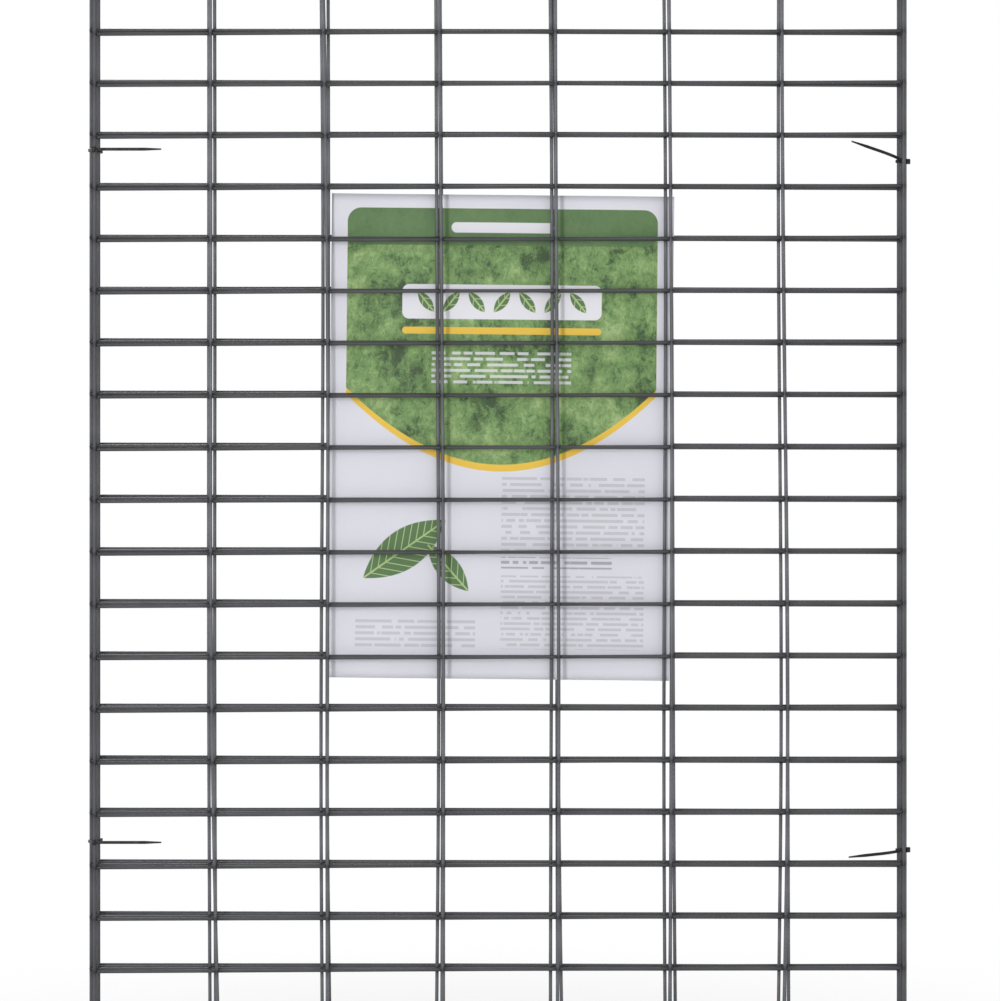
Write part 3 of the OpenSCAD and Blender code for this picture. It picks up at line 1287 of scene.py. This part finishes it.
    def head(self) -> Surface:
        """Head as a rounded sleeve: along the outside, in at one mouth, through the slot and out.

        Each ring is centre + p |cos|^k outward + q |sin|^k across, a rounded rectangle; both
        ways close. The mouths are scuffed most, and the slot is not.

        Returns:
            The head with its value edge, 1 where it is scuffed.
        """
        half = self.head_length / 2
        tall, wide = (self.head_high - self.head_low) / 2, self.head_width / 2
        middle = (self.head_high + self.head_low) / 2
        slot_tall = self.strap_thick / 2 + self.slot_play[0]
        slot_wide = self.strap_width / 2 + self.slot_play[1]
        bevel, rim, slot = self.head_bevel, self.head_rim, self.tail_radius
        rows = np.array(
            [
                [bevel - half, tall, wide, middle],
                [half - bevel, tall, wide, middle],
                [half, tall - bevel, wide - bevel, middle],
                [half, slot_tall + rim, slot_wide + rim, slot],
                [half - rim, slot_tall, slot_wide, slot],
                [rim - half, slot_tall, slot_wide, slot],
                [-half, slot_tall + rim, slot_wide + rim, slot],
                [-half, tall - bevel, wide - bevel, middle],
            ]
        )
        turn = np.linspace(0, 2 * np.pi, self.head_sides, endpoint=False)
        p, q = (np.sign(v) * np.abs(v) ** self.head_square for v in (np.cos(turn), np.sin(turn)))
        way, outward = spatial(self.tail_way, self.outward)
        points = (
            np.append(np.array(self.home), self.height)
            + rows[:, None, :1] * way
            + (rows[:, None, 3:] + rows[:, None, 1:2] * p[:, None]) * outward
            + (rows[:, None, 2:3] * q[:, None]) * np.cross(way, outward)
        ).reshape(-1, 3)
        worn = np.array([0.6, 0.6, 1.0, 1.0, 0.0, 0.0, 1.0, 1.0])
        faces = [grid_quads(len(rows), len(turn), closed=True)]
        return Surface(points, faces, {"edge": np.repeat(worn, len(turn))})

    def build(self, material: bpy.types.Material) -> list[bpy.types.Object]:
        """Makes the tie as one moulding and sets it on its body.

        Args:
            material: Finish of the nylon.

        Returns:
            The piece.
        """
        surface = Surface.joined([self.strap(), self.head()])
        piece = surface.to_object(f"{self.node}.nylon", material)
        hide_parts(self.node)
        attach(piece, self.body)
        return [piece]


@dataclass
class PrintedCard:
    """Printed card between the middle panels: held flat at the uprights, bowed between them."""

    width: float = 297 * MM
    height: float = 420 * MM
    thick: float = 0.5 * MM
    turn: float = math.radians(0.6)
    bow: float = 1.3 * MM
    swell_across: Flat = (5.2, -1.1)
    swell_up: Flat = (2.6, 0.4)
    columns: int = 121
    rows: int = 61

    def sheet(self) -> Surface:
        """Card as a closed sheet: rows in height, each round the front face and back behind.

        y = middle + bow sin(pi (x - line) / pitch) squared times a slow swell in x and z, so it
        is flat at the uprights; the two faces stand half the thickness either side of it.

        Returns:
            The card, with its print's UV and the value printed, 1 on its front.
        """
        low, high = (np.array(corner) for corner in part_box("printed_card"))
        centre = (low + high) / 2
        lines = [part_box(f"left_panel_upright_{i}") for i in (2, 3)]
        held = [sum(corner[0] for corner in line) / 2 for line in lines]
        u = np.linspace(0.0, 1.0, self.columns)
        v = np.linspace(0.0, 1.0, self.rows)[:, None]
        a, b = (u - 0.5) * self.width, (v - 0.5) * self.height
        x = centre[0] + a * math.cos(self.turn) + b * math.sin(self.turn)
        z = centre[2] - a * math.sin(self.turn) + b * math.cos(self.turn)
        swell = 1.0
        for share, (turn, start) in (
            (x / self.width, self.swell_across),
            ((z - low[2]) / self.height, self.swell_up),
        ):
            swell = swell * np.cos(turn * share + start)
        wave = np.sin(np.pi * (x - held[0]) / (held[1] - held[0])) ** 2
        y = centre[1] + self.bow * wave * swell
        front = np.stack([x, y - self.thick / 2, z], -1)
        back = np.stack([x, y + self.thick / 2, z], -1)[:, ::-1]
        points = np.concatenate([front, back], 1)
        uv = np.stack(np.broadcast_arrays(u, v), -1)
        uv = np.concatenate([uv, uv[:, ::-1]], 1)
        around = 2 * self.columns
        left, right = np.arange(self.columns - 1), np.arange(1, self.columns)
        lower = np.stack([left, around - 1 - left, around - 1 - right, right], -1)
        upper = lower[:, ::-1] + (self.rows - 1) * around
        printed = np.tile(np.repeat([1.0, 0.0], self.columns), self.rows)
        return Surface(
            points.reshape(-1, 3),
            [grid_quads(self.rows, around), lower, upper],
            {"printed": printed},
            uv.reshape(-1, 2),
        )

    def build(self, effects: Effects) -> list[bpy.types.Object]:
        """Makes the card with its print and sets it on its body.

        Args:
            effects: Shared node groups.

        Returns:
            The piece.
        """
        finish = CardFinish(self.width, self.height)
        piece = self.sheet().to_object("printed_card.sheet", finish.material(effects))
        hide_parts("printed_card")
        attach(piece, "card")
        return [piece]


class Lamp(NamedTuple):
    """Oblong area lamp: its name, place, width and height, and power in watts."""

    name: str
    place: tuple[float, float, float]
    size: Flat
    power: float


@dataclass
class Studio:
    """Camera, soft lamps, white surroundings and a pale floor."""

    view_middle: Flat = (0.00256, 0.45445)
    front_plane: float = -0.01225
    distance: float = 3.5
    frame_height: float = 0.86547
    sensor: float = 36.0
    far_clip: float = 60.0
    aim: tuple[float, float, float] = (0.0, 0.0, 0.45)
    lamps: tuple[Lamp, ...] = (
        Lamp("key", (-1.55, -3.1, 0.75), (0.4, 2.2), 54.0),
        Lamp("fill", (2.4, -2.4, 0.9), (1.2, 2.0), 14.0),
        Lamp("back", (-1.2, 2.8, 2.2), (1.6, 1.6), 30.0),
    )
    ambient: float = 0.62
    floor_reach: float = 6.0
    floor_colour: Colour = (0.95, 0.95, 0.95)
    shadow_reach: Flat = (0.1, 0.7)
    shadow_white: float = 0.74

    def camera(self) -> None:
        """Sets the camera square to the panels, to span the frame's height at the front wires."""
        data = bpy.data.cameras.new("camera")
        data.sensor_width = self.sensor
        data.lens = self.sensor * self.distance / self.frame_height
        data.clip_end = self.far_clip
        camera = bpy.data.objects.new("camera", data)
        x, z = self.view_middle
        camera.location = (x, self.front_plane - self.distance, z)
        camera.rotation_euler = (math.pi / 2, 0.0, 0.0)
        bpy.context.scene.collection.objects.link(camera)
        bpy.context.scene.camera = camera

    def light(self, lamp: Lamp) -> None:
        """Adds a lamp, aimed at the middle of the stack.

        Args:
            lamp: What to add.
        """
        data = bpy.data.lights.new(lamp.name, "AREA")
        data.shape = "RECTANGLE"
        data.size, data.size_y = lamp.size
        data.energy = lamp.power
        light = bpy.data.objects.new(lamp.name, data)
        light.location = lamp.place
        x, y, z = np.array(self.aim) - np.array(lamp.place)
        pitch = math.atan2(z, math.hypot(x, y)) + math.pi / 2
        light.rotation_euler = (pitch, 0.0, math.atan2(y, x) - math.pi / 2)
        bpy.context.scene.collection.objects.link(light)

    def seen(self, sketch: Sketch) -> Socket:
        """Rays that see the white surroundings: from the camera, a mirror or glass.

        Args:
            sketch: Sketch of the floor's material or of the world.

        Returns:
            1 on those rays, and 0 on the others.
        """
        path = sketch.put("ShaderNodeLightPath").outputs
        straight = sketch.math("MAXIMUM", path["Is Camera Ray"], path["Is Glossy Ray"])
        return sketch.math("MAXIMUM", straight, path["Is Transmission Ray"])

    def world(self) -> None:
        """Lights the object evenly from all sides, and shows as white."""
        world = bpy.data.worlds.new("white_room")
        world.use_nodes = True
        sketch = Sketch(world.node_tree)
        seen = self.seen(sketch)
        strength = sketch.math("MULTIPLY_ADD", seen, 1.0 - self.ambient, self.ambient)
        shade = sketch.put("ShaderNodeBackground", {"Color": WHITE, "Strength": strength})
        sketch.put("ShaderNodeOutputWorld", {"Surface": shade.outputs[0]})
        bpy.context.scene.world = world

    def floor(self) -> None:
        """Pale floor that keeps the shadow close to the object and fades to white further out."""
        corners = self.floor_reach * np.array([[-1, -1, 0], [1, -1, 0], [1, 1, 0], [-1, 1, 0]])
        material, sketch, place = new_finish("pale_floor")
        x, y, _ = sketch.split(place)
        away = sketch.vector("LENGTH", sketch.join(x, y))
        white = sketch.fade(away, *self.shadow_reach, self.shadow_white, 1.0)
        share = sketch.math("MULTIPLY", white, self.seen(sketch))
        matt = sketch.put("ShaderNodeBsdfDiffuse", {"Color": (*self.floor_colour, 1.0)})
        glow = sketch.put("ShaderNodeEmission", {"Color": WHITE, "Strength": 1.0})
        inputs = {0: share, 1: matt.outputs[0], 2: glow.outputs[0]}
        shader = sketch.put("ShaderNodeMixShader", inputs)
        sketch.put("ShaderNodeOutputMaterial", {"Surface": shader.outputs[0]})
        Surface(corners, [np.arange(4)[None]]).to_object("floor", material)

    def build(self) -> None:
        """Sets up the whole studio."""
        bpy.context.scene.view_settings.view_transform = "Standard"
        self.camera()
        for lamp in self.lamps:
            self.light(lamp)
        self.world()
        self.floor()


def panel_ties() -> list[CableTie]:
    """The six ties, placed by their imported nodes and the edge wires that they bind.

    The front left tails run straight along the panel, the rear left ones come forward through
    the front panel and bend along it, and the rear right ones are cropped.

    Returns:
        The ties of the three hinged corners.
    """

    def axis(side: Side, edge: str) -> Flat:
        """Place of an edge wire's axis, seen from above."""
        low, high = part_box(f"{side.body}_{edge}_edge_wire")
        return (low[0] + high[0]) / 2, (low[1] + high[1]) / 2

    left = {side: axis(side, "left") for side in Side}
    right = {side: axis(side, "right") for side in Side}
    run_x, run_y = unit(np.array(right[Side.LEFT]) - np.array(right[Side.REAR]))
    bend = math.pi - abs(math.atan2(run_y, run_x))
    along, forward, back = (1.0, 0.0), (0.0, -1.0), (0.0, 1.0)
    run, beside = (run_x, run_y), (-run_y, run_x)
    ties = []
    for stage, tilt, curl in (("lower", -6.0, 0.02), ("upper", 19.0, -0.03)):
        straight = TailShape(length=58 * MM, curl=curl)
        bent = TailShape(length=56 * MM, lead=15 * MM, turn=bend, tilt=math.radians(tilt))
        cropped = TailShape(length=5 * MM, taper=0.001 * MM)
        for corner, side, home, away, outward, way, tail in (
            ("front_left", Side.FRONT, left[Side.FRONT], left[Side.LEFT], forward, along, straight),
            ("rear_left", Side.LEFT, right[Side.REAR], right[Side.LEFT], beside, run, bent),
            ("rear_right", Side.REAR, left[Side.RIGHT], left[Side.REAR], back, along, cropped),
        ):
            node = f"{corner}_{stage}_tie"
            ties.append(CableTie(node, side.body, home, away, outward, way, tail))
    return ties


def main() -> None:
    """Builds the studio, the panels, the ties and the card."""
    logging.basicConfig(level=logging.INFO, format="%(name)s: %(message)s")
    Studio().build()
    effects = Effects.built()
    wire = WireFinish().material(effects)
    nylon = NylonFinish().material(effects)
    pieces = []
    for side in Side:
        pieces += MeshPanel(side).build(wire)
    for tie in panel_ties():
        pieces += tie.build(nylon)
    pieces += PrintedCard().build(effects)


if __name__ == "__main__":
    main()
